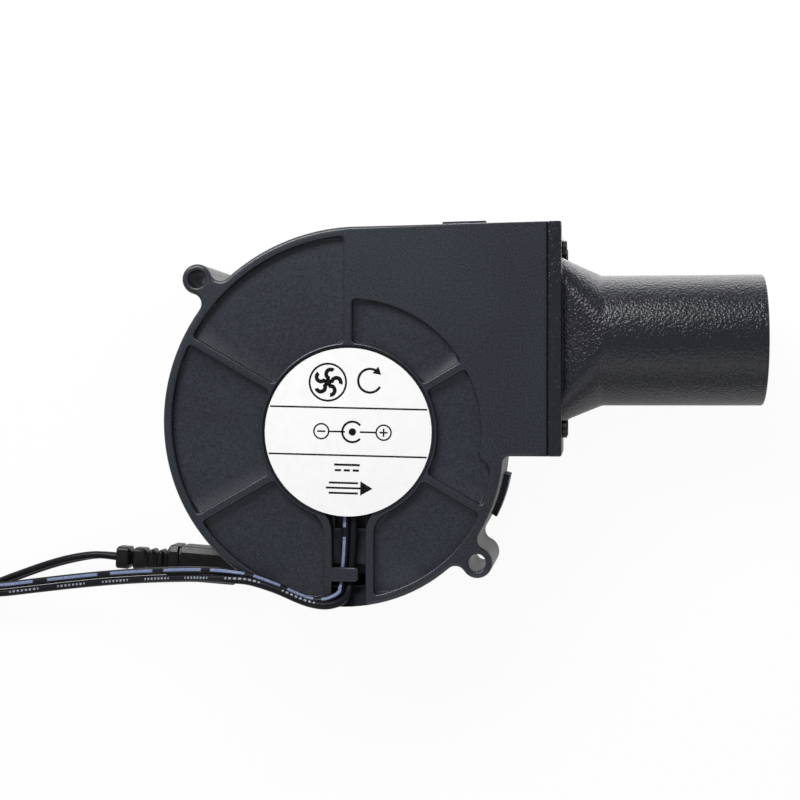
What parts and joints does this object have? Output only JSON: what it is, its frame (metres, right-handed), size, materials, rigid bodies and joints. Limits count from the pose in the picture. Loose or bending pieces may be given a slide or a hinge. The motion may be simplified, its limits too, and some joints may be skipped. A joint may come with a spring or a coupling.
{
  "type": "centrifugal blower",
  "caption": "Flat centrifugal blower with a scroll casing, outer-rotor motor and bladed impeller, a round outlet nozzle, and a twin lead with an inline connector.",
  "frame": {"origin": "rotor axis at the inlet face, in the middle of the inlet opening", "axes": "+X out of the outlet nozzle, +Y towards the outlet roof, +Z along the rotor axis from the inlet face to the label"},
  "size_m": [0.2596, 0.1175, 0.0372],
  "materials": {
    "casing_plastic": "fine-textured charcoal moulding",
    "nozzle_plastic": "grained black moulding",
    "label_vinyl": "white satin vinyl",
    "black_steel": "black plated screws",
    "impeller_plastic": "black glass-filled moulding",
    "yoke_steel": "pressed steel",
    "ferrite": "sintered ferrite",
    "brass": "turned brass",
    "bearing_steel": "ground steel",
    "lamination_steel": "stacked laminations",
    "insulator_plastic": "natural nylon",
    "copper_wire": "enamelled copper",
    "board_laminate": "green solder mask",
    "chip_plastic": "black epoxy",
    "wire_pvc": "black PVC",
    "connector_pvc": "glossy black PVC",
    "contact_plating": "nickel plated"
  },
  "bodies": {
    "housing": {"rear_casing": "casing_plastic", "inlet_cover": "casing_plastic", "label": "label_vinyl", "outlet_nozzle": "nozzle_plastic", "nozzle_screws": "black_steel", "bearing_tube": "brass", "front_bearing_outer_ring": "bearing_steel", "rear_bearing_outer_ring": "bearing_steel", "stator_core": "lamination_steel", "front_insulator": "insulator_plastic", "rear_insulator": "insulator_plastic", "stator_coils": "copper_wire", "circuit_board": "board_laminate", "driver_chip": "chip_plastic", "hall_sensor": "chip_plastic", "chip_parts": "chip_plastic", "striped_wire": "wire_pvc", "plain_wire": "wire_pvc", "connector_grip": "connector_pvc", "connector_shell": "connector_pvc", "connector_sleeve": "contact_plating", "connector_pin": "contact_plating"},
    "rotor": {"impeller": "impeller_plastic", "rotor_yoke": "yoke_steel", "magnet_ring": "ferrite", "hub_bush": "brass", "shaft": "bearing_steel", "shaft_clip": "bearing_steel", "preload_spring": "bearing_steel", "front_bearing_inner_ring": "bearing_steel", "rear_bearing_inner_ring": "bearing_steel"},
    "front_cage": {"front_bearing_balls": "bearing_steel", "front_bearing_cage": "brass"},
    "rear_cage": {"rear_bearing_balls": "bearing_steel", "rear_bearing_cage": "brass"}
  },
  "joints": [
    {"name": "rotor_spin", "type": "hinge", "parent": "housing", "child": "rotor", "pos_m": [0, 0, 0.0165], "axis": [0, 0, -1], "continuous": true},
    {"name": "front_cage_orbit", "type": "hinge", "parent": "housing", "child": "front_cage", "pos_m": [0, 0, 0.014], "axis": [0, 0, -1], "continuous": true},
    {"name": "rear_cage_orbit", "type": "hinge", "parent": "housing", "child": "rear_cage", "pos_m": [0, 0, 0.0264], "axis": [0, 0, -1], "continuous": true}
  ],
  "couplings": [
    {"joint": "front_cage_orbit", "follows": "rotor_spin", "ratio": 0.3564},
    {"joint": "rear_cage_orbit", "follows": "rotor_spin", "ratio": 0.3564}
  ]
}
